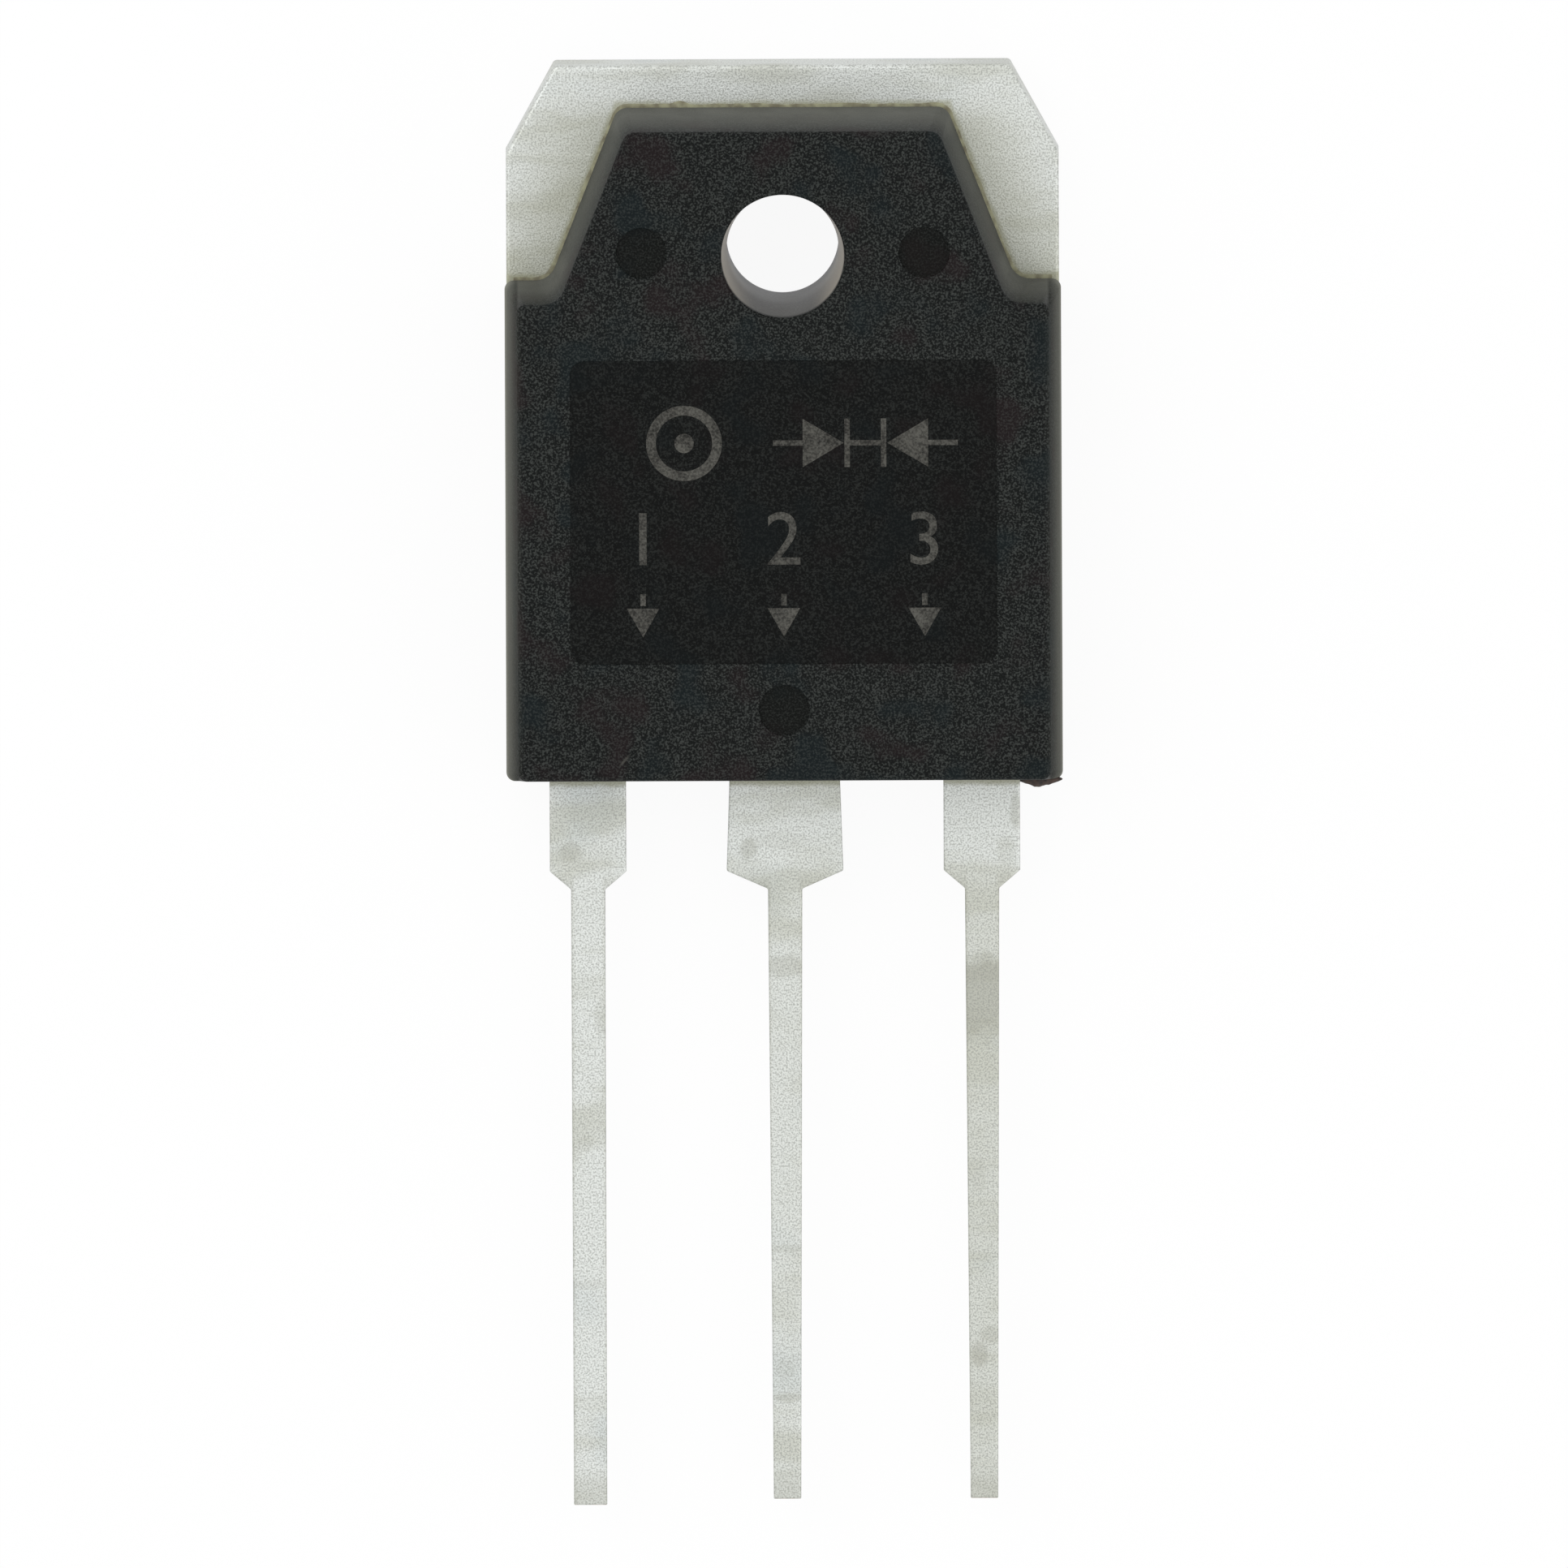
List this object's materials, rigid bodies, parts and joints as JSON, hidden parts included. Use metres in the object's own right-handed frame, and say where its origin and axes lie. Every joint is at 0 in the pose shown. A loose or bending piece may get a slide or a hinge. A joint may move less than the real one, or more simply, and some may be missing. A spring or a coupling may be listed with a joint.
{
  "type": "twin power diode in a power transistor package",
  "caption": "Through-hole power semiconductor: flat moulded body on a bare metal heat-sink tab with a screw hole, and a row of straight flat leads.",
  "frame": {"origin": "axis of the mounting hole, in the plane of the bare metal back that the part rests on", "axes": "+X to the right seen from the marked face with the leads down, +Y towards the tab's upper edge, +Z out of the marked face; the leads run along -Y"},
  "size_m": [0.0154, 0.04, 0.0048],
  "materials": {
    "moulding": "matte moulded epoxy, charcoal black",
    "tinned_copper": "matte tin plate over copper",
    "solder": "dull soft solder",
    "silicon": "metallised silicon",
    "bond_wire": "drawn aluminium wire"
  },
  "bodies": {
    "root": {"moulded_body": "moulding", "header": "tinned_copper", "left_lead": "tinned_copper", "right_lead": "tinned_copper", "left_solder": "solder", "right_solder": "solder", "left_die": "silicon", "right_die": "silicon", "left_inner_wire": "bond_wire", "left_outer_wire": "bond_wire", "right_inner_wire": "bond_wire", "right_outer_wire": "bond_wire"}
  },
  "joints": []
}
